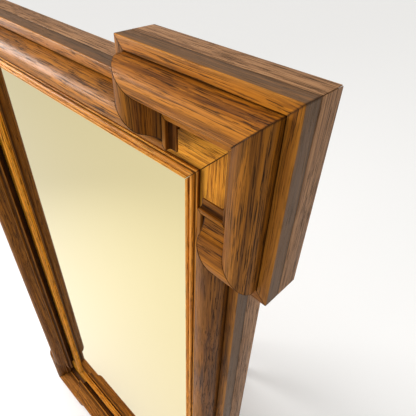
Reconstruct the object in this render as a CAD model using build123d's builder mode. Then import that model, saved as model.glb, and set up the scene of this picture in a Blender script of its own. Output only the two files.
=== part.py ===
"""Large floor mirror with crossetted (eared) corners, leaning back on a folding rear stand.

Every piece is drawn upright in the mirror's own plane and leaned back when it is written.
Mirror frame, in millimetres: X to the right as seen from the front, Y to the back, Z up.
Y = 0 is the plane of the sight lip that frames the glass; Z = 0 is the underside of the
lower ears. In a moulding's section, "out" is measured from the edge of the visible glass
towards the outside of the frame, and "front" is measured forward from the lip plane.
"""
import os
from math import cos, radians, sin, tan

from build123d import *

# ---------------------------------------------------------------- driving dimensions
SIGHT_WIDTH = 706.0          # visible glass
SIGHT_HEIGHT = 1448.0
LEAN = 9.0                   # degrees, backwards

RAIL = 139.0                 # visible glass to the outside of the frame, between the ears
EAR_STEP = 43.0              # how far an ear stands out past the rail
EAR_LENGTH = 263.0           # along the outside of the frame, from its corner
EAR = RAIL + EAR_STEP

BACK_FACE = -28.5            # rear of the frame ("front" coordinate)
LAYER_JOINT = 11.0           # rear of the mouldings, front of the back rails
FRIEZE_FACE = -4.0           # the recessed flat
FRIEZE_IN, FRIEZE_OUT = 12.0, 113.0
FILLET_FACE = 37.0           # outer flat of the moulding
MITRE_GAP = 0.3              # each member of a mitre is this much short of it

# big moulding, from the outside inwards
FILLET_IN = 123.5
GROOVE = (122.3, 31.0)
CUSHION_START, CUSHION_CREST, CUSHION_TURN = (122.0, 39.4), (99.8, 66.3), (78.0, 49.5)
FLANK_MID, QUIRK_TOP, QUIRK = (74.2, 40.0), (69.5, 31.5), (66.5, 28.0)
SMALL_FILLET_OUT, SMALL_FILLET_IN, SMALL_FILLET_FACE = 64.0, 58.0, 33.0
COVE_TOP, COVE_MID, COVE_END = (58.0, 30.0), (56.9, 23.6), (53.8, 19.8)
MOULDING_IN = 52.5
EDGE_BACK, GROUND_IN = 16.5, 71.0     # the moulding's thin inner edge overhangs the frieze

# sight moulding
SIGHT_OUT = 26.0

# glazing
GLASS_THICK, GLASS_OUT = 5.0, 11.0
GLASS_FACE = -4.3
PANEL_THICK, PANEL_GAP = 5.0, 0.3
BEAD_OUT, BEAD_IN = 11.5, 0.0

# rear stand
HINGE_HEIGHT = 1180.0        # pivot above the underside of the ears
STAND_OPEN = 25.0            # degrees between the stand and the mirror
CLEAT_THICK, CLEAT_HEIGHT, CLEAT_HALF = 20.0, 90.0, 440.0
BRACKET_THICK = 3.0
LEG_WIDTH, LEG_DEPTH = 28.0, 36.0
LEG_X = 125.0                # middle of a leg, either side of the centre
LEG_HEAD = 34.0              # leg above the pivot
PIVOT_OFF = 20.5             # pivot behind the bracket's plate
BOLT_D, BUSH_D, BUSH_BORE = 8.0, 12.0, 8.12
RUNG_HEIGHT, RUNG_THICK, TENON = 50.0, 20.0, 8.0
RUNGS = {"upper": 150.0, "middle": 560.0, "lower": 980.0}    # below the pivot, along the leg

# feet
FOOT_LIFT = 7.0              # the frame's datum above the floor
EAR_FOOT_WIDTH, EAR_FOOT_FRONT, EAR_FOOT_BACK = 150.0, 30.0, -23.0
LEG_PAD = 6.0

# strap hangers
RING_WIRE, RING_BARREL, RING_BORE = 4.0, 8.0, 4.2
RING_X, RING_Z = 420.0, 1380.0
PLATE = (22.0, 2.0, 44.0)

HALF_WIDTH, HALF_HEIGHT = SIGHT_WIDTH / 2, SIGHT_HEIGHT / 2
MID_HEIGHT = EAR + HALF_HEIGHT
os.makedirs("parts", exist_ok=True)
pieces = {}


def keep(builder, name):
    """Label a finished piece and hold it for writing."""
    builder.part.label = name
    pieces[name] = builder.part


# ---------------------------------------------------------------- the four sides
class Side:
    """One side of the frame: run direction, outward direction and half the sight length."""

    def __init__(self, name, run, out, half):
        self.name, self.half = name, half
        self.run, self.out = Vector(*run), Vector(*out)
        self.ear_end = half + EAR - EAR_LENGTH      # run coordinate of an ear's free end
        reach = HALF_HEIGHT if half == HALF_WIDTH else HALF_WIDTH
        self.base = Vector(0, 0, MID_HEIGHT) + self.out * reach

    def point(self, along, out):
        return self.base + self.run * along + self.out * out

    def run_of(self, place):
        return (place - self.base).dot(self.run)

    def out_of(self, place):
        return (place - self.base).dot(self.out)

    def section(self, out_shift=0.0):
        """Plane across the side: its X is "out", its Y is "front"."""
        return Plane(self.point(0, out_shift), x_dir=self.out, z_dir=self.run)

    def return_section(self, end):
        """The same section for the short return at one end of the side (end = 1 or -1)."""
        origin = self.point(end * (self.ear_end + RAIL), 0)
        return Plane(origin, x_dir=self.run * -end, z_dir=self.out * end)

    def plan(self, front):
        """Plane facing the viewer: its X is along the run, its Y is "out"."""
        origin = self.point(0, 0) + Vector(0, -front, 0)
        return Plane(origin, x_dir=self.run, z_dir=self.run.cross(self.out))


SIDES = [
    Side("top", (1, 0, 0), (0, 0, 1), HALF_WIDTH),
    Side("right", (0, 0, -1), (1, 0, 0), HALF_HEIGHT),
    Side("bottom", (-1, 0, 0), (0, 0, -1), HALF_WIDTH),
    Side("left", (0, 0, 1), (-1, 0, 0), HALF_HEIGHT),
]
TALL = 80.0                  # more than any moulding stands forward
LONG = 2 * (HALF_HEIGHT + EAR)


def seen_from_behind(origin):
    """Plane facing the rear: its X is X and its normal is Y."""
    return Plane(origin, x_dir=(1, 0, 0), z_dir=(0, 1, 0))


def seen_from_side(origin):
    """Plane facing the right: its X is Y, its Y is Z and its normal is X."""
    return Plane(origin, x_dir=(0, 1, 0), z_dir=(1, 0, 0))


# The big moulding's section: outer fillet, groove, cushion, quirk, small fillet, cove, thin edge.
with BuildSketch() as moulding_section:
    with BuildLine():
        Polyline((MOULDING_IN, EDGE_BACK), (GROUND_IN, EDGE_BACK), (GROUND_IN, LAYER_JOINT),
                 (RAIL, LAYER_JOINT), (RAIL, FILLET_FACE - 1), (RAIL - 1, FILLET_FACE),
                 (FILLET_IN, FILLET_FACE), GROOVE, CUSHION_START)
        ThreePointArc(CUSHION_START, CUSHION_CREST, CUSHION_TURN)
        ThreePointArc(CUSHION_TURN, FLANK_MID, QUIRK_TOP)
        Polyline(QUIRK_TOP, QUIRK, (SMALL_FILLET_OUT, SMALL_FILLET_FACE - 1),
                 (SMALL_FILLET_OUT - 1, SMALL_FILLET_FACE), (SMALL_FILLET_IN, SMALL_FILLET_FACE),
                 COVE_TOP)
        ThreePointArc(COVE_TOP, COVE_MID, COVE_END)
        Polyline(COVE_END, (MOULDING_IN, COVE_END[1] - 0.8), (MOULDING_IN, EDGE_BACK))
    make_face()

# The small moulding's section round the glass: lip, bead, hollow, larger bead, step.
with BuildSketch() as sight_section:
    with BuildLine():
        Polyline((0, FRIEZE_FACE), (SIGHT_OUT, FRIEZE_FACE), (SIGHT_OUT, 0.6), (25.2, 1.4),
                 (22.6, 1.4), (22.0, 0.8))
        ThreePointArc((22.0, 0.8), (17.2, 5.2), (12.4, 0.8))
        ThreePointArc((12.4, 0.8), (10.4, -0.2), (8.6, 0.2))
        ThreePointArc((8.6, 0.2), (6.3, 2.2), (4.0, 0.0))
        Polyline((4.0, 0.0), (3.4, -0.9), (2.8, 0.0), (0.6, 0.0), (0, -0.6), (0, FRIEZE_FACE))
    make_face()

# ---------------------------------------------------------------- frame: friezes and keys
KEY_THICK, KEY_SIZE = 5.0, 56.0
KEY_PLANES = []
for sx in (-1, 1):
    for sz in (-1, 1):
        middle = (FRIEZE_IN + FRIEZE_OUT) / 2
        corner = Vector(sx * (HALF_WIDTH + middle), -(FRIEZE_FACE + BACK_FACE) / 2,
                        MID_HEIGHT + sz * (HALF_HEIGHT + middle))
        KEY_PLANES.append(Plane(corner, x_dir=(1, 0, 1), z_dir=(0, 1, 0)))

with BuildPart() as corner_keys:
    for key_plane in KEY_PLANES:
        with BuildSketch(key_plane):
            Rectangle(KEY_SIZE, KEY_SIZE)
        extrude(amount=KEY_THICK / 2, both=True)
keep(corner_keys, "corner_keys")

for side in SIDES:
    inner, outer = side.half + FRIEZE_IN - MITRE_GAP, side.half + FRIEZE_OUT - MITRE_GAP
    with BuildPart() as frieze:
        with BuildSketch(side.plan(FRIEZE_FACE)):
            with BuildLine():
                Polyline((-inner, FRIEZE_IN), (inner, FRIEZE_IN), (outer, FRIEZE_OUT),
                         (-outer, FRIEZE_OUT), close=True)
            make_face()
        extrude(amount=BACK_FACE - FRIEZE_FACE)
        with BuildSketch(*KEY_PLANES):
            Rectangle(KEY_SIZE, KEY_SIZE)
        extrude(amount=KEY_THICK / 2, both=True, mode=Mode.SUBTRACT)
    keep(frieze, f"frieze_{side.name}")

# ---------------------------------------------------------------- frame: back rails with ears
for side in SIDES:
    inner, outer = side.half + FRIEZE_OUT - MITRE_GAP, side.half + EAR - MITRE_GAP
    end = side.ear_end
    with BuildPart() as back_rail:
        with BuildSketch(side.plan(LAYER_JOINT)):
            with BuildLine():
                Polyline((-inner, FRIEZE_OUT), (inner, FRIEZE_OUT), (outer, EAR), (end, EAR),
                         (end, RAIL), (-end, RAIL), (-end, EAR), (-outer, EAR), close=True)
            make_face()
        extrude(amount=BACK_FACE - LAYER_JOINT)
        rear = back_rail.faces().sort_by(Axis.Y)[-1]
        mitre_run = side.half + (EAR + FRIEZE_OUT) / 2
        eased = [e for e in rear.edges()
                 if side.out_of(e.center()) > (FRIEZE_OUT + RAIL) / 2 + 5
                 and abs(side.run_of(e.center())) < mitre_run - 5]
        fillet(eased, radius=5)
    keep(back_rail, f"back_rail_{side.name}")

# ---------------------------------------------------------------- frame: mouldings
for side in SIDES:
    end = side.ear_end
    run_in = end + RAIL - MOULDING_IN
    ground = end + RAIL - GROUND_IN
    with BuildPart() as straight:
        with BuildSketch(side.section()):
            add(moulding_section.sketch)
        extrude(amount=LONG / 2, both=True)
        with BuildSketch(side.plan(0)):
            with BuildLine():
                Polyline((-run_in + MITRE_GAP, MOULDING_IN), (run_in - MITRE_GAP, MOULDING_IN),
                         (end - MITRE_GAP, RAIL), (-end + MITRE_GAP, RAIL), close=True)
            make_face()
        extrude(amount=TALL, mode=Mode.INTERSECT)
        with BuildSketch(side.plan(FRIEZE_FACE)):
            with Locations((0, (GROUND_IN + FRIEZE_OUT) / 2)):
                Rectangle(2 * ground, FRIEZE_OUT - GROUND_IN)
        extrude(amount=LAYER_JOINT - FRIEZE_FACE)
    keep(straight, f"moulding_{side.name}")

    for sign, place in ((-1, "start"), (1, "end")):
        inner_out, inner_run = MOULDING_IN + EAR_STEP, end + RAIL - MOULDING_IN
        with BuildPart() as ear:
            with BuildSketch(side.section(EAR_STEP)):
                add(moulding_section.sketch)
            extrude(amount=LONG / 2, both=True)
            with BuildSketch(side.plan(0)):
                with BuildLine():
                    Polyline((sign * (inner_run + MITRE_GAP), inner_out),
                             (sign * (side.half + inner_out - MITRE_GAP), inner_out),
                             (sign * (side.half + EAR - MITRE_GAP), EAR),
                             (sign * (end + MITRE_GAP), EAR), close=True)
                make_face()
            extrude(amount=TALL, mode=Mode.INTERSECT)
        keep(ear, f"ear_{side.name}_{place}")

        with BuildPart() as ret:
            with BuildSketch(side.return_section(sign)):
                add(moulding_section.sketch)
            extrude(amount=LONG / 2, both=True)
            with BuildSketch(side.plan(0)):
                with BuildLine():
                    Polyline((sign * end, RAIL + MITRE_GAP), (sign * end, EAR - MITRE_GAP),
                             (sign * inner_run, inner_out - MITRE_GAP),
                             (sign * inner_run, MOULDING_IN + MITRE_GAP), close=True)
                make_face()
            extrude(amount=TALL, mode=Mode.INTERSECT)
        keep(ret, f"return_{side.name}_{place}")

    inner, outer = side.half - MITRE_GAP, side.half + SIGHT_OUT - MITRE_GAP
    with BuildPart() as sight:
        with BuildSketch(side.section()):
            add(sight_section.sketch)
        extrude(amount=LONG / 2, both=True)
        with BuildSketch(side.plan(FRIEZE_FACE)):
            with BuildLine():
                Polyline((-inner, 0), (inner, 0), (outer, SIGHT_OUT), (-outer, SIGHT_OUT),
                         close=True)
            make_face()
        extrude(amount=TALL, mode=Mode.INTERSECT)
    keep(sight, f"sight_{side.name}")

# ---------------------------------------------------------------- glazing
def slab(name, out, rear_of, thick):
    """A rectangular sheet behind the sight opening, reaching `out` past the visible glass."""
    with BuildPart() as sheet:
        with BuildSketch(seen_from_behind((0, rear_of, MID_HEIGHT))):
            Rectangle(SIGHT_WIDTH + 2 * out, SIGHT_HEIGHT + 2 * out)
        extrude(amount=thick)
    keep(sheet, name)


PANEL_FRONT = -GLASS_FACE + GLASS_THICK + PANEL_GAP
BEAD_FRONT = PANEL_FRONT + PANEL_THICK
slab("mirror_glass", GLASS_OUT, -GLASS_FACE, GLASS_THICK)
slab("back_panel", GLASS_OUT, PANEL_FRONT, PANEL_THICK)

PIN_D, PIN_LENGTH, PIN_SPACING = 2.0, 16.0, 180.0
with BuildPart() as bead_pins:
    for side in SIDES:
        count = int(2 * side.half / PIN_SPACING)
        pin_plane = Plane(side.point(0, BEAD_OUT - 6.0) + Vector(0, BEAD_FRONT + 5.0, 0),
                          x_dir=side.run, z_dir=side.out)
        with BuildSketch(pin_plane):
            with GridLocations(PIN_SPACING, 1, count, 1):
                Circle(PIN_D / 2)
        extrude(amount=PIN_LENGTH)
keep(bead_pins, "bead_pins")

for side in SIDES:
    reach = side.half + (BEAD_OUT if side.half == HALF_WIDTH else BEAD_IN - 0.2)
    with BuildPart() as bead:
        with BuildSketch(side.section()):
            with BuildLine():
                Polyline((BEAD_IN, -BEAD_FRONT), (BEAD_OUT, -BEAD_FRONT), (BEAD_OUT, BACK_FACE),
                         (BEAD_IN + 6, BACK_FACE), (BEAD_IN, BACK_FACE + 6), close=True)
            make_face()
        extrude(amount=reach, both=True)
        add(bead_pins.part, mode=Mode.SUBTRACT)
    keep(bead, f"glazing_bead_{side.name}")
    with BuildPart() as drilled:
        add(pieces[f"frieze_{side.name}"])
        add(bead_pins.part, mode=Mode.SUBTRACT)
    keep(drilled, f"frieze_{side.name}")


# ---------------------------------------------------------------- screws
def screw_body(length):
    """Countersunk slotted wood screw, its head flush with Z = 0 and its point downwards."""
    with BuildPart() as one:
        with BuildSketch(Plane.XZ):
            with BuildLine():
                Polyline((0, 0), (4.0, 0), (4.0, -0.4), (2.0, -2.6), (2.0, -length + 5),
                         (0, -length), close=True)
            make_face()
        revolve(axis=Axis.Z)
        with BuildSketch(Plane.XY):
            Rectangle(9.0, 1.1)
        extrude(amount=-0.9, mode=Mode.SUBTRACT)
    return one.part


def screws(name, length, spots):
    """Identical screws driven forwards (-Y) at the given (x, y, z) spots."""
    body = screw_body(length)
    with BuildPart() as group:
        for spot in spots:
            add(body.moved(Location(Plane(spot, x_dir=(1, 0, 0.4), z_dir=(0, 1, 0)))))
    keep(group, name)
    return group.part


# ---------------------------------------------------------------- rear cleat and its brackets
CLEAT_REAR = -BACK_FACE + CLEAT_THICK
PLATE_REAR = CLEAT_REAR + BRACKET_THICK
PIVOT_Y = PLATE_REAR + PIVOT_OFF
CHEEK_GAP = 0.5
CHEEK_R = 14.0

cleat_screws = screws("cleat_screws", 40.0, [
    (sx * x, CLEAT_REAR, HINGE_HEIGHT + z)
    for sx in (-1, 1) for x, z in ((385, 25), (385, -25), (425, 0))])
bracket_screws = screws("bracket_screws", 20.0, [
    (sx * LEG_X + x, PLATE_REAR, HINGE_HEIGHT + z)
    for sx in (-1, 1) for x in (-27, 27) for z in (-20, 27)])

with BuildPart() as cleat:
    with BuildSketch(seen_from_behind((0, -BACK_FACE, HINGE_HEIGHT))):
        Rectangle(2 * CLEAT_HALF, CLEAT_HEIGHT)
    extrude(amount=CLEAT_THICK)
    chamfer(cleat.faces().sort_by(Axis.Y)[-1].edges(), length=3)
    add(cleat_screws, mode=Mode.SUBTRACT)
    add(bracket_screws, mode=Mode.SUBTRACT)
keep(cleat, "rear_cleat")

for side_name in ("left", "right"):
    with BuildPart() as drilled:
        add(pieces[f"frieze_{side_name}"])
        add(cleat_screws, mode=Mode.SUBTRACT)
    keep(drilled, f"frieze_{side_name}")

with BuildPart() as brackets:
    for sx in (-1, 1):
        with BuildSketch(seen_from_behind((sx * LEG_X, CLEAT_REAR, HINGE_HEIGHT + 3))):
            RectangleRounded(72, 62, 4)
        extrude(amount=BRACKET_THICK)
        for cheek in (-1, 1):
            inner_x = sx * LEG_X + cheek * (LEG_WIDTH / 2 + CHEEK_GAP)
            with BuildSketch(seen_from_side((inner_x, PIVOT_Y, HINGE_HEIGHT))):
                Circle(CHEEK_R)
                with Locations((-PIVOT_OFF / 2 - 0.5, 0)):
                    Rectangle(PIVOT_OFF + 1, 2 * CHEEK_R)
                Circle(BOLT_D / 2, mode=Mode.SUBTRACT)
            extrude(amount=cheek * BRACKET_THICK)
    add(bracket_screws, mode=Mode.SUBTRACT)
keep(brackets, "pivot_brackets")

PIVOT_SIDE = LEG_WIDTH / 2 + CHEEK_GAP + BRACKET_THICK
with BuildPart() as bolts:
    for sx in (-1, 1):
        head_plane = seen_from_side((sx * LEG_X - PIVOT_SIDE, PIVOT_Y, HINGE_HEIGHT))
        with BuildSketch(head_plane):
            Circle(BOLT_D / 2)
        extrude(amount=2 * PIVOT_SIDE + 9)
        with BuildSketch(head_plane):
            RegularPolygon(7.2, 6)
        extrude(amount=-5.0)
keep(bolts, "pivot_bolts")

with BuildPart() as nuts:
    for sx in (-1, 1):
        with BuildSketch(seen_from_side((sx * LEG_X + PIVOT_SIDE, PIVOT_Y, HINGE_HEIGHT))):
            RegularPolygon(7.2, 6)
            Circle(BOLT_D / 2, mode=Mode.SUBTRACT)
        extrude(amount=6.5)
keep(nuts, "pivot_nuts")

# ---------------------------------------------------------------- folding stand
# The stand is drawn at its open angle. In its own frame Z runs up the leg, Y to the rear.
OPEN = radians(STAND_OPEN)
SPLAY = radians(STAND_OPEN - LEAN)              # the leg's slope from the vertical
STAND_Y, STAND_Z = Vector(0, cos(OPEN), sin(OPEN)), Vector(0, -sin(OPEN), cos(OPEN))
PIVOT = Vector(0, PIVOT_Y, HINGE_HEIGHT)
PIVOT_ABOVE_FLOOR = FOOT_LIFT + HINGE_HEIGHT * cos(radians(LEAN)) - PIVOT_Y * sin(radians(LEAN))
STOP_GAP = 0.2


def leg_plane(x):
    """Side view of a leg: X of the plane is the stand's Y, Y of the plane is its Z."""
    return Plane(PIVOT + Vector(x, 0, 0), x_dir=STAND_Y, z_dir=(1, 0, 0))


def along_leg(y, height):
    """Point of the leg's side view at `y` across it and `height` above the floor."""
    return (y, (height - PIVOT_ABOVE_FLOOR - y * sin(SPLAY)) / cos(SPLAY))


def stop_line(z):
    """Across-leg position of the head's bevel, which bears on the bracket plate when open."""
    return (-(PIVOT_OFF - STOP_GAP) + z * sin(OPEN)) / cos(OPEN)


half_depth = LEG_DEPTH / 2
bevel_start = (PIVOT_OFF - STOP_GAP - half_depth * cos(OPEN)) / sin(OPEN)
RUNG_SPAN = LEG_X - LEG_WIDTH / 2

for name, distance in RUNGS.items():
    rung_plane = Plane(PIVOT - STAND_Z * distance, x_dir=(1, 0, 0), z_dir=STAND_Y)
    with BuildPart() as rung:
        with BuildSketch(rung_plane):
            Rectangle(2 * RUNG_SPAN, RUNG_HEIGHT)
        extrude(amount=RUNG_THICK / 2, both=True)
        with BuildSketch(rung_plane):
            Rectangle(2 * (RUNG_SPAN + 20), RUNG_HEIGHT - 14)
        extrude(amount=TENON / 2, both=True)
    keep(rung, f"stand_rung_{name}")

for sx, name in ((-1, "left"), (1, "right")):
    with BuildPart() as leg:
        with BuildSketch(leg_plane(sx * LEG_X)):
            with BuildLine():
                Polyline(along_leg(-half_depth, LEG_PAD), along_leg(half_depth, LEG_PAD),
                         (half_depth, LEG_HEAD - 10), (half_depth - 10, LEG_HEAD),
                         (stop_line(LEG_HEAD), LEG_HEAD), (-half_depth, bevel_start), close=True)
            make_face()
            Circle(BUSH_D / 2, mode=Mode.SUBTRACT)
        extrude(amount=LEG_WIDTH / 2, both=True)
        for rung_name in RUNGS:
            add(pieces[f"stand_rung_{rung_name}"], mode=Mode.SUBTRACT)
        long_edges = leg.edges().filter_by(lambda e: e.length > 1000)
        chamfer(long_edges, length=2)
    keep(leg, f"stand_leg_{name}")

with BuildPart() as leg_pads:
    for sx in (-1, 1):
        with BuildSketch(leg_plane(sx * LEG_X)):
            with BuildLine():
                Polyline(along_leg(-half_depth, 0), along_leg(half_depth, 0),
                         along_leg(half_depth, LEG_PAD), along_leg(-half_depth, LEG_PAD), close=True)
            make_face()
        extrude(amount=LEG_WIDTH / 2, both=True)
keep(leg_pads, "leg_pads")

with BuildPart() as bushes:
    for sx in (-1, 1):
        with BuildSketch(leg_plane(sx * LEG_X)):
            Circle(BUSH_D / 2)
            Circle(BUSH_BORE / 2, mode=Mode.SUBTRACT)
        extrude(amount=LEG_WIDTH / 2, both=True)
keep(bushes, "pivot_bushes")

# ---------------------------------------------------------------- feet under the lower ears
# Each foot is a wedge whose top meets the leaning frame and whose base is level.
floor_slope = tan(radians(LEAN))
with BuildPart() as ear_feet:
    for sx in (-1, 1):
        foot_x = sx * (HALF_WIDTH + EAR - EAR_FOOT_WIDTH / 2 - 12)
        with BuildSketch(seen_from_side((foot_x, 0, 0))):
            with BuildLine():
                base = -FOOT_LIFT / cos(radians(LEAN))
                front_y, rear_y = -EAR_FOOT_FRONT, -EAR_FOOT_BACK
                Polyline((front_y, 0), (rear_y, 0), (rear_y, base + rear_y * floor_slope),
                         (front_y, base + front_y * floor_slope), close=True)
            make_face()
        extrude(amount=EAR_FOOT_WIDTH / 2, both=True)
keep(ear_feet, "ear_feet")

# ---------------------------------------------------------------- safety-strap hangers
RING_Y = -BACK_FACE + RING_BARREL / 2
hanger_screws = screws("hanger_screws", 20.0, [
    (sx * RING_X, -BACK_FACE + PLATE[1], RING_Z + z) for sx in (-1, 1) for z in (18, 38)])
with BuildPart() as hanger_plates:
    for sx in (-1, 1):
        with BuildSketch(seen_from_behind((sx * RING_X, -BACK_FACE, RING_Z + 4 + PLATE[2] / 2))):
            RectangleRounded(PLATE[0], PLATE[2], 3)
        extrude(amount=PLATE[1])
        with BuildSketch(seen_from_side((sx * RING_X, RING_Y, RING_Z))):
            Circle(RING_BARREL / 2)
            with Locations((-1.5, 3.5)):
                Rectangle(5, 5)
            Circle(RING_BORE / 2, mode=Mode.SUBTRACT)
        extrude(amount=8.0, both=True)
    add(hanger_screws, mode=Mode.SUBTRACT)
keep(hanger_plates, "hanger_plates")

for side_name in ("left", "right"):
    with BuildPart() as drilled:
        add(pieces[f"frieze_{side_name}"])
        add(hanger_screws, mode=Mode.SUBTRACT)
    keep(drilled, f"frieze_{side_name}")

# The rings hang plumb, so they stand off the leaning back by the lean angle.
ring_down = Vector(0, sin(radians(LEAN)), -cos(radians(LEAN)))
for sx, name in ((-1, "left"), (1, "right")):
    ring_plane = Plane((sx * RING_X, RING_Y, RING_Z), x_dir=(1, 0, 0),
                       z_dir=Vector(1, 0, 0).cross(ring_down * -1))
    with BuildPart() as ring:
        with BuildLine(ring_plane) as loop:
            Line((-9, 0), (9, 0))
            CenterArc((9, -8), 8, 90, -90)
            Line((17, -8), (17, -12))
            CenterArc((0, -12), 17, 0, -180)
            Line((-17, -12), (-17, -8))
            CenterArc((-9, -8), 8, 180, -90)
        with BuildSketch(seen_from_side(ring_plane.from_local_coords((-9, 0, 0)))):
            Circle(RING_WIRE / 2)
        sweep(path=loop.wire())
    keep(ring, f"hanger_ring_{name}")

# ---------------------------------------------------------------- lean back and write
leaned = Location((0, 0, FOOT_LIFT), (-LEAN, 0, 0))
placed = {name: piece.moved(leaned) for name, piece in pieces.items()}
boxes = [piece.bounding_box() for piece in placed.values()]
front, rear = min(box.min.Y for box in boxes), max(box.max.Y for box in boxes)
to_origin = Location((0, -(front + rear) / 2, 0))
for name, piece in placed.items():
    final = piece.moved(to_origin)
    final.label = name
    export_step(final, f"parts/{name}.step")
lowest, highest = min(box.min.Z for box in boxes), max(box.max.Z for box in boxes)
print(f"{len(placed)} nodes, Y shift {-(front + rear) / 2:.3f}, depth {rear - front:.1f}, "
      f"Z {lowest:.3f} to {highest:.1f}")
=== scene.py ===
import math

import bmesh
import bpy
import numpy as np
from mathutils import Matrix, Vector, noise

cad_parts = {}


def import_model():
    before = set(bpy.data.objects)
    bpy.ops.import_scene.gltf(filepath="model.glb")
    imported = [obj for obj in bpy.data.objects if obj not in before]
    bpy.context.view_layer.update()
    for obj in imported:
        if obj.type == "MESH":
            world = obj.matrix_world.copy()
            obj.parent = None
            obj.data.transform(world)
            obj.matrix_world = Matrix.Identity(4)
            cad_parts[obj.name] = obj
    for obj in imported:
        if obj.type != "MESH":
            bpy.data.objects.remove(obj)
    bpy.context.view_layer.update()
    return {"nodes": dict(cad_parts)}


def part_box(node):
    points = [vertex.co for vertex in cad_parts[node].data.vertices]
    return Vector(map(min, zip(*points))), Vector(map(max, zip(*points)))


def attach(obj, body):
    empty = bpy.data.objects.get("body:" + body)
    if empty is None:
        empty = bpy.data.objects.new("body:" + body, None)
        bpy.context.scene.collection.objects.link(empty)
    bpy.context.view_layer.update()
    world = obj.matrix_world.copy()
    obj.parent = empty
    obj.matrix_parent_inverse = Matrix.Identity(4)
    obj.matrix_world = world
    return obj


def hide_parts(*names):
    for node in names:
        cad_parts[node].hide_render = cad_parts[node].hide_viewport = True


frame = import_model()
random_draw = np.random.default_rng(7)

# Looks of the eared floor mirror: finer mouldings and boards, waxed hardwood, metal, glass.
# Lengths in the mirror's own frame are millimetres: "out" from the edge of the visible glass,
# "front" from the lip plane, "run" along a side. Blender objects are in metres.

# ------------------------------------------------------------------ the mirror's own frame
MM = 0.001
LEAN = math.radians(9.0)
SIGHT_WIDTH, SIGHT_HEIGHT = 706.0, 1448.0
RAIL, EAR_STEP, EAR_LENGTH = 139.0, 43.0, 263.0
EAR = RAIL + EAR_STEP
MID_HEIGHT = EAR + SIGHT_HEIGHT / 2
GLASS_OUT, GLASS_FACE, GLASS_THICK = 11.0, -4.3, 5.0
LAYER_JOINT, FRIEZE_FACE, BACK_FACE = 11.0, -4.0, -28.5
MOULDING_IN, GROUND_IN, FRIEZE_IN, FRIEZE_OUT, SIGHT_OUT = 52.5, 71.0, 12.0, 113.0, 26.0
MITRE_GAP = 0.3

# big moulding, from the outside inwards
FILLET_FACE, FILLET_IN, GROOVE = 37.0, 123.5, (122.3, 31.0)
CUSHION_START, CUSHION_CREST, CUSHION_TURN = (122.0, 39.4), (99.8, 66.3), (78.0, 49.5)
FLANK_MID, QUIRK_TOP, QUIRK = (74.2, 40.0), (69.5, 31.5), (66.5, 28.0)
SMALL_FILLET_OUT, SMALL_FILLET_IN, SMALL_FILLET_FACE = 64.0, 58.0, 33.0
COVE_TOP, COVE_MID, COVE_END = (58.0, 30.0), (56.9, 23.6), (53.8, 19.8)
EDGE_BACK = 16.5

# sight moulding, from the frieze to the glass
STEP_FACE, STEP_IN = 1.4, 22.6
LARGE_BEAD = (22.0, 0.8), (17.2, 5.2), (12.4, 0.8)
HOLLOW = (12.4, 0.8), (10.4, -0.2), (8.6, 0.2)
SMALL_BEAD = (8.6, 0.2), (6.3, 2.2), (4.0, 0.0)
LIP_GROOVE, LIP_OUT = (3.4, -0.9), 2.8

AXIS_X = Vector((1, 0, 0))
AXIS_BACK = Vector((0, math.cos(LEAN), -math.sin(LEAN)))
AXIS_UP = Vector((0, math.sin(LEAN), math.cos(LEAN)))


def find_datum():
    """World place of the lip plane at the underside of the ears, from the glass's lowest corner."""
    lowest = Vector(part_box("mirror_glass")[0])
    corner_up = (EAR - GLASS_OUT) * MM
    glass_front, glass_rear = -GLASS_FACE * MM, (GLASS_THICK - GLASS_FACE) * MM
    y = lowest.y - (AXIS_UP * corner_up + AXIS_BACK * glass_front).y
    z = lowest.z - (AXIS_UP * corner_up + AXIS_BACK * glass_rear).z
    return Vector((0, y, z))


DATUM = find_datum()


def world(x, back, up):
    """A point of the mirror's own frame, in mm, as a world point in metres."""
    return DATUM + (AXIS_X * x + AXIS_BACK * back + AXIS_UP * up) * MM


class Side:
    """One side of the frame: its run and outward directions and half its sight length."""

    def __init__(self, name, run, out, half, reach):
        self.name, self.half = name, half
        self.run, self.out = run, out
        self.base = Vector((0, 0, MID_HEIGHT)) + Vector((out[0], 0, out[1])) * reach
        self.ear_end = half + EAR - EAR_LENGTH

    def point(self, along, out, front):
        x = self.base.x + self.run[0] * along + self.out[0] * out
        up = self.base.z + self.run[1] * along + self.out[1] * out
        return world(x, -front, up)


HALF_WIDTH, HALF_HEIGHT = SIGHT_WIDTH / 2, SIGHT_HEIGHT / 2
SIDES = [
    Side("top", (1, 0), (0, 1), HALF_WIDTH, HALF_HEIGHT),
    Side("right", (0, -1), (1, 0), HALF_HEIGHT, HALF_WIDTH),
    Side("bottom", (-1, 0), (0, -1), HALF_WIDTH, HALF_HEIGHT),
    Side("left", (0, 1), (-1, 0), HALF_HEIGHT, HALF_WIDTH),
]


# ------------------------------------------------------------------ sections
def arc_through(a, b, c, steps):
    """Points from a to c along the circle through a, b and c."""
    ax, ay, bx, by, cx, cy = *a, *b, *c
    d = 2 * (ax * (by - cy) + bx * (cy - ay) + cx * (ay - by))
    sa, sb, sc = ax * ax + ay * ay, bx * bx + by * by, cx * cx + cy * cy
    ux = (sa * (by - cy) + sb * (cy - ay) + sc * (ay - by)) / d
    uy = (sa * (cx - bx) + sb * (ax - cx) + sc * (bx - ax)) / d
    start, mid, end = (math.atan2(p[1] - uy, p[0] - ux) for p in (a, b, c))
    turn = (end - start) % math.tau
    if (mid - start) % math.tau > turn:
        turn -= math.tau
    radius = math.hypot(ax - ux, ay - uy)
    angles = [start + turn * i / steps for i in range(steps + 1)]
    return [(ux + radius * math.cos(t), uy + radius * math.sin(t)) for t in angles]


CLOSEST_POINTS = 0.05


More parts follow.
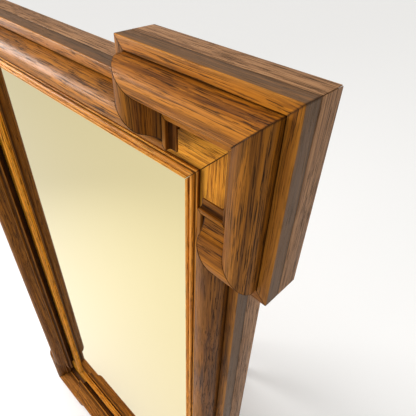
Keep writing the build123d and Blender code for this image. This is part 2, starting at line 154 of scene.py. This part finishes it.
def softened(corners):
    """Corners (x, y, radius) with each radius turned into a small arc. Radius 0 stays sharp."""
    points = []
    for i, (x, y, radius) in enumerate(corners):
        here = Vector((x, y))
        if radius <= 0:
            points.append((x, y))
            continue
        before = Vector(corners[i - 1][:2]) - here
        after = Vector(corners[(i + 1) % len(corners)][:2]) - here
        cut = min(radius, 0.45 * before.length, 0.45 * after.length)
        a, c = here + before.normalized() * cut, here + after.normalized() * cut
        for step in range(5):
            t = step / 4
            points.append(tuple(a * (1 - t) ** 2 + here * (2 * t * (1 - t)) + c * t ** 2))
    return [p for i, p in enumerate(points) if (Vector(p) - Vector(points[i - 1])).length > CLOSEST_POINTS]


def divided(points, longest):
    """A closed outline with no stretch longer than `longest`."""
    result = []
    for i, point in enumerate(points):
        follow = points[(i + 1) % len(points)]
        count = max(1, math.ceil(math.dist(point, follow) / longest))
        for step in range(count):
            t = step / count
            result.append((point[0] + (follow[0] - point[0]) * t, point[1] + (follow[1] - point[1]) * t))
    return result


def moulding_section():
    cushion = arc_through(CUSHION_START, CUSHION_CREST, CUSHION_TURN, 30)
    flank = arc_through(CUSHION_TURN, FLANK_MID, QUIRK_TOP, 6)[1:]
    cove = arc_through(COVE_TOP, COVE_MID, COVE_END, 8)
    corners = [(MOULDING_IN, EDGE_BACK, 0.3), (GROUND_IN, EDGE_BACK, 0.3), (GROUND_IN, LAYER_JOINT, 0.3),
               (RAIL, LAYER_JOINT, 1.2), (RAIL, FILLET_FACE, 1.8), (FILLET_IN, FILLET_FACE, 0.7),
               (*GROOVE, 0.0)]
    corners += [(x, y, 0.0) for x, y in cushion + flank]
    corners += [(*QUIRK, 0.0), (SMALL_FILLET_OUT, SMALL_FILLET_FACE - 0.4, 0.0),
                (SMALL_FILLET_OUT - 0.6, SMALL_FILLET_FACE, 0.4),
                (SMALL_FILLET_IN, SMALL_FILLET_FACE, 0.7)]
    corners += [(x, y, 0.0) for x, y in cove]
    corners += [(MOULDING_IN, 19.0, 0.5)]
    return divided(softened(corners), 7.0)


def sight_section():
    large, hollow = arc_through(*LARGE_BEAD, 12), arc_through(*HOLLOW, 4)[1:]
    small = arc_through(*SMALL_BEAD, 8)[1:]
    corners = [(0, FRIEZE_FACE, 0.2), (SIGHT_OUT, FRIEZE_FACE, 0.2), (SIGHT_OUT, STEP_FACE, 0.8),
               (STEP_IN, STEP_FACE, 0.4)]
    corners += [(x, y, 0.0) for x, y in large + hollow + small]
    corners += [(*LIP_GROOVE, 0.0), (LIP_OUT, 0.0, 0.3), (0.0, 0.0, 0.6)]
    return divided(softened(corners), 5.0)


def board_section(inner, outer, rear, front, ease):
    corners = [(inner, rear, ease), (outer, rear, ease), (outer, front, ease), (inner, front, ease)]
    return divided(softened(corners), 6.0)


# Hollows, creases and the slot under the moulding's inner edge, darkened as painted shade along with some
# wax and dust and the dark layer joint; and arrises that wear; as (out, front, spread, strength).
MOULDING_DIRT_AND_SHADE = [(122.3, 31.5, 3.2, 1.0), (66.8, 29.0, 3.4, 1.0), (57.5, 25.0, 4.5, 0.8),
                 (71.0, 11.0, 16.0, 1.0), (139.0, 11.0, 1.3, 1.0)]
MOULDING_WEAR = [(139.0, 37.0, 3.0, 1.0), (123.5, 37.0, 1.6, 0.7), (61.0, 33.0, 3.0, 0.8),
                 (53.0, 19.4, 1.8, 0.8), (99.8, 66.3, 11.0, 0.35)]
SIGHT_DIRT_AND_SHADE = [(22.2, 0.6, 1.6, 1.0), (3.4, -0.9, 1.3, 1.0), (11.0, 0.0, 1.6, 0.7), (26.0, -4.0, 2.6, 1.0)]
SIGHT_WEAR = [(17.2, 5.2, 2.6, 0.8), (25.6, 1.4, 1.2, 0.7), (1.0, 0.0, 1.4, 0.9), (6.3, 2.2, 1.2, 0.6)]
# frieze darkened where the sight moulding and the ground sit on it: painted shade
FRIEZE_PAINTED_SHADE = [(26.0, -4.0, 5.0, 0.8), (113.0, -4.0, 14.0, 0.6)]
NOTHING = []


def strength(marks, out, front):
    total = 0.0
    for x, y, spread, amount in marks:
        total = max(total, amount * math.exp(-((out - x) ** 2 + (front - y) ** 2) / spread ** 2))
    return total


# ------------------------------------------------------------------ mesh making
class Shell:
    """Vertices, faces and the surface facts that the materials read."""

    def __init__(self):
        self.verts, self.faces, self.grain = [], [], []
        self.soil, self.wear, self.bare = [], [], []

    def add(self, place, grain, soil, wear, bare):
        self.verts.append(place)
        self.grain.append(grain)
        self.soil.append(soil)
        self.wear.append(wear)
        self.bare.append(bare)
        return len(self.verts) - 1


END_CAP, END_CUT, END_EASE = 1.6, 0.45, 0.35     # how a swept piece's ends are eased


def stations(start, end, spacing):
    """Places along a run, close together near both ends so that the ends can be eased."""
    count = max(2, math.ceil((end - start - 2 * END_CAP) / spacing))
    inner = [start + END_CAP + (end - start - 2 * END_CAP) * i / count for i in range(count + 1)]
    return [start, start + END_CUT] + inner + [end - END_CUT, end]


def sweep(shell, section, ends, place, soil_marks, wear_marks, spacing=14.0, wobble=0.10):
    """Runs a section between two ends; ends(out) gives the run coordinates of both at that offset."""
    mid_out = sum(p[0] for p in section) / len(section)
    mid_front = sum(p[1] for p in section) / len(section)
    low, high = ends(mid_out)
    fractions = [(s - low) / (high - low) for s in stations(low, high, spacing)]
    rings = []
    last = len(fractions) - 1
    for k, fraction in enumerate(fractions):
        ring = []
        for out, front in section:
            start, end = ends(out)
            along = start + (end - start) * fraction
            o, f = out, front
            if k in (0, last):
                length = math.hypot(mid_out - out, mid_front - front) or 1.0
                o += (mid_out - out) / length * END_EASE
                f += (mid_front - front) / length * END_EASE
            spot = Vector((along * 0.013, out * 0.05, front * 0.05 + place.seed))
            o += wobble * (noise.noise(spot) - 1.0)
            f += wobble * (noise.noise(spot + Vector((31.0, 7.0, 3.0))) - 1.0)
            worn = strength(wear_marks, out, front)
            bite = max(0.0, noise.noise(Vector((along * 0.055, out * 0.08, place.seed + 9.0))) - 0.28)
            o -= worn * bite * 1.1 * (1 if out > mid_out else -1)
            f -= worn * bite * 0.9
            end_soil = max(0.0, 1.0 - min(abs(along - start), abs(along - end)) / 1.8)
            # darkening value: painted shade in hollows, creases and the overhang slot, some wax and dust,
            # and the dark mitre ends
            soil = max(strength(soil_marks, out, front), 0.85 * end_soil)
            grain = Vector((along, out, front)) * MM + place.offset
            edge_face, rear_face = out > RAIL - 0.9 and front < 35.5, front < FRIEZE_FACE - 2
            bare = 1.0 if edge_face or rear_face else 0.0
            ring.append(shell.add(place(along, o, f), grain, soil, worn, bare))
        rings.append(ring)
    size = len(section)
    for a, b in zip(rings[:-1], rings[1:]):
        for i in range(size):
            j = (i + 1) % size
            shell.faces.append((a[i], a[j], b[j], b[i]))
    shell.faces.append(tuple(reversed(rings[0])))
    shell.faces.append(tuple(rings[-1]))


class Placing:
    """Turns (run, out, front) into a world point, and holds what differs between pieces."""

    def __init__(self, point):
        self.point = point
        self.seed = float(random_draw.uniform(0, 50))
        self.offset = Vector(random_draw.uniform(0, 9, 3).tolist())

    def __call__(self, along, out, front):
        return self.point(along, out, front)


SMOOTH_ANGLE = math.radians(32.0)


def finish_mesh(name, mesh, tone):
    """Shades a mesh, gives it its tone and makes its object."""
    layer = mesh.attributes.new("tone", "FLOAT", "POINT")
    layer.data.foreach_set("value", [tone] * len(mesh.vertices))
    work = bmesh.new()
    work.from_mesh(mesh)
    bmesh.ops.recalc_face_normals(work, faces=work.faces)
    work.to_mesh(mesh)
    work.free()
    mesh.shade_smooth()
    mesh.set_sharp_from_angle(angle=SMOOTH_ANGLE)
    piece = bpy.data.objects.new(name, mesh)
    bpy.context.scene.collection.objects.link(piece)
    return piece


def store_facts(mesh, grain, soil, wear, bare):
    mesh.attributes.new("grain", "FLOAT_VECTOR", "POINT").data.foreach_set(
        "vector", [c for v in grain for c in v])
    mesh.attributes.new("soil", "FLOAT", "POINT").data.foreach_set("value", soil)
    mesh.attributes.new("wear", "FLOAT", "POINT").data.foreach_set("value", wear)
    mesh.attributes.new("bare", "FLOAT", "POINT").data.foreach_set("value", bare)


def build(shell, name, node, material, shade=0.0):
    """Makes the object of a swept piece of the frame, which stands for its CAD node."""
    mesh = bpy.data.meshes.new(name)
    mesh.from_pydata(shell.verts, [], shell.faces)
    store_facts(mesh, shell.grain, shell.soil, shell.wear, shell.bare)
    piece = finish_mesh(name, mesh, shade + float(random_draw.uniform(-0.4, 0.4)))
    mesh.materials.append(material)
    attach(piece, "frame")
    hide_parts(node)


def eased_copy(node, material, grain_axes, body="frame", ease=0.8):
    """A CAD board with eased arrises and its own grain; grain_axes are its run, out and front."""
    source = frame["nodes"][node]
    work = bmesh.new()
    work.from_mesh(source.data)
    bmesh.ops.remove_doubles(work, verts=work.verts, dist=2e-6)
    bmesh.ops.dissolve_limit(work, angle_limit=math.radians(0.4), verts=work.verts, edges=work.edges)
    sharp = [e for e in work.edges if e.is_manifold and e.calc_face_angle(0) > math.radians(28)]
    bmesh.ops.bevel(work, geom=sharp, offset=ease * MM, segments=2, profile=0.5,
                    affect="EDGES", clamp_overlap=True)
    mesh = bpy.data.meshes.new(f"{node}_eased")
    work.to_mesh(mesh)
    work.free()
    run, out, front = grain_axes
    shift = Vector(random_draw.uniform(0, 9, 3).tolist())
    grain = [Vector((v.co.dot(run), v.co.dot(out), v.co.dot(front))) + shift for v in mesh.vertices]
    none = [0.0] * len(mesh.vertices)
    store_facts(mesh, grain, none, none, none)
    piece = finish_mesh(f"{node}_eased", mesh, float(random_draw.uniform(-1, 1)))
    mesh.materials.clear()
    mesh.materials.append(material)
    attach(piece, body)
    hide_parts(node)


# ------------------------------------------------------------------ materials
def linear(red, green, blue):
    """A colour given as 0-255 screen values, as linear RGBA."""
    def one(value):
        value /= 255
        return value / 12.92 if value <= 0.04045 else ((value + 0.055) / 1.055) ** 2.4
    return (one(red), one(green), one(blue), 1.0)


class Nodes:
    """Short ways to add and join shader nodes."""

    def __init__(self, name):
        self.material = bpy.data.materials.new(name)
        self.material.use_nodes = True
        self.tree = self.material.node_tree
        self.shader = self.tree.nodes["Principled BSDF"]

    def new(self, kind, **settings):
        node = self.tree.nodes.new(kind)
        for key, value in settings.items():
            setattr(node, key, value)
        return node

    def join(self, source, target):
        self.tree.links.new(source, target)

    def put(self, socket, value):
        if isinstance(value, bpy.types.NodeSocket):
            self.join(value, socket)
        else:
            socket.default_value = value

    def maths(self, operation, a, b=0.0, c=0.0, clamp=False):
        node = self.new("ShaderNodeMath", operation=operation, use_clamp=clamp)
        for socket, value in zip(node.inputs, (a, b, c)):
            self.put(socket, value)
        return node.outputs[0]

    def mix(self, factor, a, b):
        node = self.new("ShaderNodeMix", data_type="RGBA")
        self.put(node.inputs["Factor"], factor)
        self.put(node.inputs[6], a)
        self.put(node.inputs[7], b)
        return node.outputs[2]

    def ramp(self, value, low, high, start=0.0, end=1.0):
        node = self.new("ShaderNodeMapRange", interpolation_type="SMOOTHSTEP")
        for socket, item in zip(node.inputs, (value, low, high, start, end)):
            self.put(socket, item)
        return node.outputs[0]

    def stretched(self, vector, scale):
        node = self.new("ShaderNodeVectorMath", operation="MULTIPLY")
        self.put(node.inputs[0], vector)
        node.inputs[1].default_value = scale
        return node.outputs[0]

    def noise(self, vector, detail=4.0, rough=0.55):
        node = self.new("ShaderNodeTexNoise")
        self.join(vector, node.inputs["Vector"])
        node.inputs["Scale"].default_value = 1.0
        node.inputs["Detail"].default_value = detail
        node.inputs["Roughness"].default_value = rough
        return node.outputs["Fac"]

    def fact(self, name, kind="Fac"):
        return self.new("ShaderNodeAttribute", attribute_name=name).outputs[kind]


# colour of the painted shade in hollows, creases and gaps, and of the wax, dust and dark joints there
DIRT_AND_SHADE_COLOUR = linear(38, 20, 8)


def wood(name, light, mid, dark, pore, gloss=0.44, coat=0.05, figure=0.5, wear_colour=None,
         bare_colour=None, tone_range=0.24, streak=1.0):
    """Waxed open-pored hardwood. The grain runs along the X of each piece's own grain coordinates."""
    n = Nodes(name)
    grain = n.fact("grain", "Vector")
    # the fibre wanders slowly from side to side
    wander = n.noise(n.stretched(grain, (2.2, 9.0, 9.0)), detail=2.0)
    drift = n.new("ShaderNodeCombineXYZ")
    n.join(n.maths("MULTIPLY", wander, 0.035), drift.inputs[1])
    n.join(n.maths("MULTIPLY", wander, 0.028), drift.inputs[2])
    bent = n.new("ShaderNodeVectorMath", operation="ADD")
    n.join(grain, bent.inputs[0])
    n.join(drift.outputs[0], bent.inputs[1])
    fibre = bent.outputs[0]

    broad = n.noise(n.stretched(fibre, (2.0, 34.0, 34.0)), detail=3.0)
    streaks = n.noise(n.stretched(fibre, (6.0, 430.0, 430.0)), detail=4.0, rough=0.62)
    fine = n.noise(n.stretched(fibre, (22.0, 760.0, 760.0)), detail=3.0, rough=0.6)
    rings = n.new("ShaderNodeTexWave", wave_type="RINGS", rings_direction="X", wave_profile="SAW")
    n.join(n.stretched(fibre, (0.7, 10.0, 15.0)), rings.inputs["Vector"])
    rings.inputs["Scale"].default_value = 2.6
    rings.inputs["Distortion"].default_value = 3.2
    rings.inputs["Detail"].default_value = 3.0
    rings.inputs["Detail Scale"].default_value = 1.4
    growth = rings.outputs["Fac"]

    body = n.mix(n.ramp(broad, 0.33, 0.68), mid, light)
    body = n.mix(n.maths("MULTIPLY", n.ramp(growth, 0.25, 0.95), figure), body, dark)
    body = n.mix(n.maths("MULTIPLY", n.ramp(streaks, 0.49, 0.66), 0.75 * streak), body, dark)
    body = n.mix(n.maths("MULTIPLY", n.ramp(streaks, 0.47, 0.36), 0.6 * streak), body, light)
    pores = n.ramp(fine, 0.53, 0.62)
    body = n.mix(n.maths("MULTIPLY", pores, 0.85), body, pore)

    tone = n.maths("MULTIPLY_ADD", n.fact("tone"), tone_range, 1.0)
    toned = n.new("ShaderNodeHueSaturation")
    n.join(body, toned.inputs["Color"])
    n.join(tone, toned.inputs["Value"])
    body = toned.outputs[0]

    patch = n.noise(n.stretched(grain, (9.0, 30.0, 30.0)), detail=3.0)
    if wear_colour:
        rubbed = n.maths("MULTIPLY", n.fact("wear"), n.ramp(patch, 0.35, 0.6), clamp=True)
        body = n.mix(n.maths("MULTIPLY", rubbed, 0.6), body, wear_colour)
    if bare_colour:
        body = n.mix(n.maths("MULTIPLY", n.fact("bare"), 0.72), body, bare_colour)
    # darkens the wood where the darkening attribute is set: mostly painted shade in hollows and gaps,
    # partly wax, dust and dark joints
    dirt_and_shade_amount = n.maths("MULTIPLY", n.fact("soil"), n.ramp(patch, 0.1, 0.45, 0.7, 1.0), clamp=True)
    body = n.mix(dirt_and_shade_amount, body, DIRT_AND_SHADE_COLOUR)
    n.join(body, n.shader.inputs["Base Color"])

    rough = n.maths("MULTIPLY_ADD", n.ramp(patch, 0.3, 0.7), 0.12, gloss)
    rough = n.maths("MULTIPLY_ADD", pores, 0.2, rough)
    n.join(n.maths("MULTIPLY_ADD", dirt_and_shade_amount, 0.3, rough, clamp=True), n.shader.inputs["Roughness"])
    n.shader.inputs["Coat Weight"].default_value = coat
    n.shader.inputs["Coat Roughness"].default_value = 0.22
    n.shader.inputs["Specular IOR Level"].default_value = 0.15
    n.shader.inputs["Specular Tint"].default_value = (1.0, 0.80, 0.52, 1.0)

    height = n.maths("MULTIPLY_ADD", pores, -0.8, streaks)
    bump = n.new("ShaderNodeBump")
    bump.inputs["Strength"].default_value = 0.35
    bump.inputs["Distance"].default_value = 0.0006
    n.join(height, bump.inputs["Height"])
    n.join(bump.outputs[0], n.shader.inputs["Normal"])
    return n.material


def metal(name, colour, rough):
    n = Nodes(name)
    place = n.new("ShaderNodeTexCoord").outputs["Object"]
    cloud = n.noise(n.stretched(place, (60.0, 60.0, 60.0)), detail=4.0)
    n.join(n.mix(n.maths("MULTIPLY", n.ramp(cloud, 0.4, 0.7), 0.45), colour,
                 tuple(c * 0.45 for c in colour[:3]) + (1.0,)), n.shader.inputs["Base Color"])
    n.join(n.maths("MULTIPLY_ADD", cloud, 0.2, rough), n.shader.inputs["Roughness"])
    n.shader.inputs["Metallic"].default_value = 1.0
    return n.material


def plain(name, colour, rough, speckle=0.0):
    n = Nodes(name)
    place = n.new("ShaderNodeTexCoord").outputs["Object"]
    grit = n.noise(n.stretched(place, (400.0, 400.0, 400.0)), detail=3.0)
    darker = tuple(c * (1 - speckle) for c in colour[:3]) + (1.0,)
    n.join(n.mix(grit, darker, colour), n.shader.inputs["Base Color"])
    n.shader.inputs["Roughness"].default_value = rough
    bump = n.new("ShaderNodeBump")
    bump.inputs["Strength"].default_value = 0.2
    bump.inputs["Distance"].default_value = 0.0003
    n.join(grit, bump.inputs["Height"])
    n.join(bump.outputs[0], n.shader.inputs["Normal"])
    return n.material


def silvering_with_painted_reflection():
    n = Nodes("silvered_glass")
    n.shader.inputs["Metallic"].default_value = 1.0
    # warm yellow tint stands in for the reflection of a warm wooden floor: painted reflection colour
    n.shader.inputs["Base Color"].default_value = (0.77, 0.67, 0.37, 1.0)
    n.shader.inputs["Roughness"].default_value = 0.015
    return n.material


MOULDING_WOOD = wood("moulding_wood", linear(176, 108, 26), linear(132, 74, 14), linear(66, 32, 6),
                     linear(28, 12, 2), wear_colour=linear(194, 126, 44), bare_colour=linear(96, 76, 58))
SIGHT_WOOD = wood("sight_wood", linear(240, 160, 40), linear(206, 124, 24), linear(128, 70, 12),
                  linear(62, 30, 4), figure=0.3, wear_colour=linear(236, 168, 76), streak=0.8)
FRIEZE_WOOD = wood("frieze_wood", linear(246, 172, 50), linear(226, 146, 34), linear(166, 96, 16),
                   linear(100, 52, 6), figure=0.28, streak=0.8, tone_range=0.05,
                   bare_colour=linear(74, 56, 42))
BACK_WOOD = wood("back_wood", linear(166, 122, 84), linear(138, 98, 64), linear(92, 60, 38),
                 linear(42, 25, 14), gloss=0.5, coat=0.03, figure=0.35)
PLAIN_WOOD = wood("plain_wood", linear(160, 108, 58), linear(130, 84, 42), linear(88, 52, 24),
                  linear(48, 27, 12), gloss=0.5, coat=0.03, figure=0.35)
BOARD_WOOD = wood("panel_board", linear(186, 150, 106), linear(170, 132, 90), linear(140, 102, 64),
                  linear(100, 70, 40), gloss=0.7, coat=0.0, figure=0.5, streak=0.5)
BRASS = metal("aged_brass", (0.60, 0.42, 0.17, 1.0), 0.28)
STEEL = metal("blackened_steel", (0.10, 0.095, 0.09, 1.0), 0.42)
RUBBER = plain("black_rubber", (0.028, 0.028, 0.03, 1.0), 0.75, speckle=0.4)
GLASS = silvering_with_painted_reflection()

# ------------------------------------------------------------------ frame pieces
MOULDING, SIGHT = moulding_section(), sight_section()
GROUND = board_section(GROUND_IN, FRIEZE_OUT, FRIEZE_FACE, LAYER_JOINT, 0.3)
FRIEZE = board_section(FRIEZE_IN, FRIEZE_OUT, BACK_FACE, FRIEZE_FACE, 0.5)

# lighter or darker boards, in the same unit as each piece's random tone
SIDE_SHADE = {"top": 0.5, "bottom": 0.5, "left": -1.3, "right": -1.3}
RETURN_SHADE = -0.6

for side in SIDES:
    end = side.ear_end
    shade = SIDE_SHADE[side.name]

    shell = Shell()
    place = Placing(side.point)
    reach = lambda out: end + RAIL - out - MITRE_GAP
    sweep(shell, MOULDING, lambda out: (-reach(out), reach(out)), place, MOULDING_DIRT_AND_SHADE, MOULDING_WEAR)
    ground = end + RAIL - GROUND_IN
    # the ground's inner face is darkened nearly black: painted shade for the slot under the moulding's
    # overhang
    sweep(shell, GROUND, lambda out: (-ground, ground), place, [(GROUND_IN, 0.0, 12.0, 1.0)], NOTHING,
          spacing=60.0, wobble=0.0)
    build(shell, f"moulding_{side.name}_run", f"moulding_{side.name}", MOULDING_WOOD,
          shade)

    for sign, where in ((-1, "start"), (1, "end")):
        shell = Shell()
        place = Placing(lambda along, out, front, s=sign: side.point(s * along, out + EAR_STEP, front))
        sweep(shell, MOULDING,
              lambda out: (end + RAIL - out + MITRE_GAP, side.half + out + EAR_STEP - MITRE_GAP),
              place, MOULDING_DIRT_AND_SHADE, MOULDING_WEAR)
        build(shell, f"ear_{side.name}_{where}_run", f"ear_{side.name}_{where}",
              MOULDING_WOOD, shade)

        shell = Shell()
        place = Placing(lambda along, out, front, s=sign: side.point(s * (end + RAIL - out), along, front))
        sweep(shell, MOULDING, lambda out: (out + MITRE_GAP, out + EAR_STEP - MITRE_GAP),
              place, MOULDING_DIRT_AND_SHADE, MOULDING_WEAR, spacing=8.0)
        build(shell, f"return_{side.name}_{where}_run", f"return_{side.name}_{where}",
              MOULDING_WOOD, RETURN_SHADE)

    shell = Shell()
    mitred = lambda out: (-(side.half + out - MITRE_GAP), side.half + out - MITRE_GAP)
    sweep(shell, SIGHT, mitred, Placing(side.point), SIGHT_DIRT_AND_SHADE, SIGHT_WEAR, wobble=0.05)
    build(shell, f"sight_{side.name}_run", f"sight_{side.name}", SIGHT_WOOD)

    shell = Shell()
    sweep(shell, FRIEZE, mitred, Placing(side.point), FRIEZE_PAINTED_SHADE, NOTHING, spacing=40.0, wobble=0.05)
    build(shell, f"frieze_{side.name}_board", f"frieze_{side.name}", FRIEZE_WOOD)

UPRIGHT = (AXIS_UP, AXIS_X, AXIS_BACK)
ACROSS = (AXIS_X, AXIS_UP, AXIS_BACK)
SIDE_GRAIN = {"top": ACROSS, "bottom": ACROSS, "left": UPRIGHT, "right": UPRIGHT}
for side_name, axes in SIDE_GRAIN.items():
    eased_copy(f"back_rail_{side_name}", BACK_WOOD, axes, ease=1.0)
    eased_copy(f"glazing_bead_{side_name}", PLAIN_WOOD, axes, ease=0.5)
eased_copy("rear_cleat", PLAIN_WOOD, ACROSS, ease=0.8)
eased_copy("back_panel", BOARD_WOOD, UPRIGHT, ease=0.3)

# ------------------------------------------------------------------ stand
for name in ("left", "right"):
    eased_copy(f"stand_leg_{name}", PLAIN_WOOD, UPRIGHT, body="stand", ease=0.6)
for name in ("upper", "middle", "lower"):
    eased_copy(f"stand_rung_{name}", PLAIN_WOOD, ACROSS, body="stand", ease=0.8)


def paint(material, *nodes):
    """Gives CAD nodes their material."""
    for node in nodes:
        mesh = frame["nodes"][node].data
        mesh.materials.clear()
        mesh.materials.append(material)


paint(BRASS, "pivot_bushes", "hanger_plates", "hanger_screws", "bracket_screws", "cleat_screws",
      "hanger_ring_left", "hanger_ring_right")
paint(STEEL, "pivot_brackets", "pivot_bolts", "pivot_nuts", "bead_pins")
paint(RUBBER, "ear_feet", "leg_pads")
paint(GLASS, "mirror_glass")

# ------------------------------------------------------------------ floor, light, camera
FLOOR_SIZE, WORLD_STRENGTH, SKY_ENERGY, SKY_SPREAD = 24.0, 0.56, 1.1, math.radians(50)

bpy.ops.mesh.primitive_plane_add(size=FLOOR_SIZE, location=(0, 0, 0))
floor = bpy.context.object
floor.name = "floor"
floor.data.materials.append(plain("floor_paint", (0.93, 0.925, 0.915, 1.0), 0.6))

world_light = bpy.data.worlds.new("studio")
bpy.context.scene.world = world_light
world_light.use_nodes = True
world_light.node_tree.nodes["Background"].inputs[0].default_value = (1.0, 0.99, 0.97, 1.0)
world_light.node_tree.nodes["Background"].inputs[1].default_value = WORLD_STRENGTH


def softbox(name, place, target, size, power, spread=180, mirrored=True):
    data = bpy.data.lights.new(name, "AREA")
    data.shape = "RECTANGLE"
    data.size, data.size_y = size
    data.energy = power
    data.spread = math.radians(spread)
    lamp = bpy.data.objects.new(name, data)
    lamp.location = place
    lamp.rotation_euler = (Vector(target) - Vector(place)).to_track_quat("-Z", "Y").to_euler()
    lamp.visible_glossy = mirrored
    bpy.context.scene.collection.objects.link(lamp)


softbox("window", (-3.2, -1.7, 2.2), (0, 0, 1.6), (1.6, 1.6), 40, spread=90)
softbox("front", (-0.8, -4.4, 3.0), (0, 0, 1.2), (2.6, 2.2), 36, mirrored=False)

sky_data = bpy.data.lights.new("skylight", "SUN")
sky_data.energy = SKY_ENERGY
sky_data.angle = SKY_SPREAD
skylight = bpy.data.objects.new("skylight", sky_data)
skylight.rotation_euler = Vector((0.25, 0.05, -0.97)).to_track_quat("-Z", "Y").to_euler()
bpy.context.scene.collection.objects.link(skylight)

camera_data = bpy.data.cameras.new("camera")
camera_data.sensor_width = 36.0
camera_data.lens = 33.912
camera = bpy.data.objects.new("camera", camera_data)
bpy.context.scene.collection.objects.link(camera)
right = Vector((0.71861, 0.69128, -0.07578))
down = Vector((0.45497, -0.54976, -0.70054))
forward = Vector((-0.52593, 0.46894, -0.70957))
turn = Matrix((right, -down, -forward)).transposed().to_4x4()
turn.translation = Vector((0.6819, -0.2749, 1.9736))
camera.matrix_world = turn
bpy.context.scene.camera = camera
bpy.context.scene.view_settings.view_transform = "Standard"
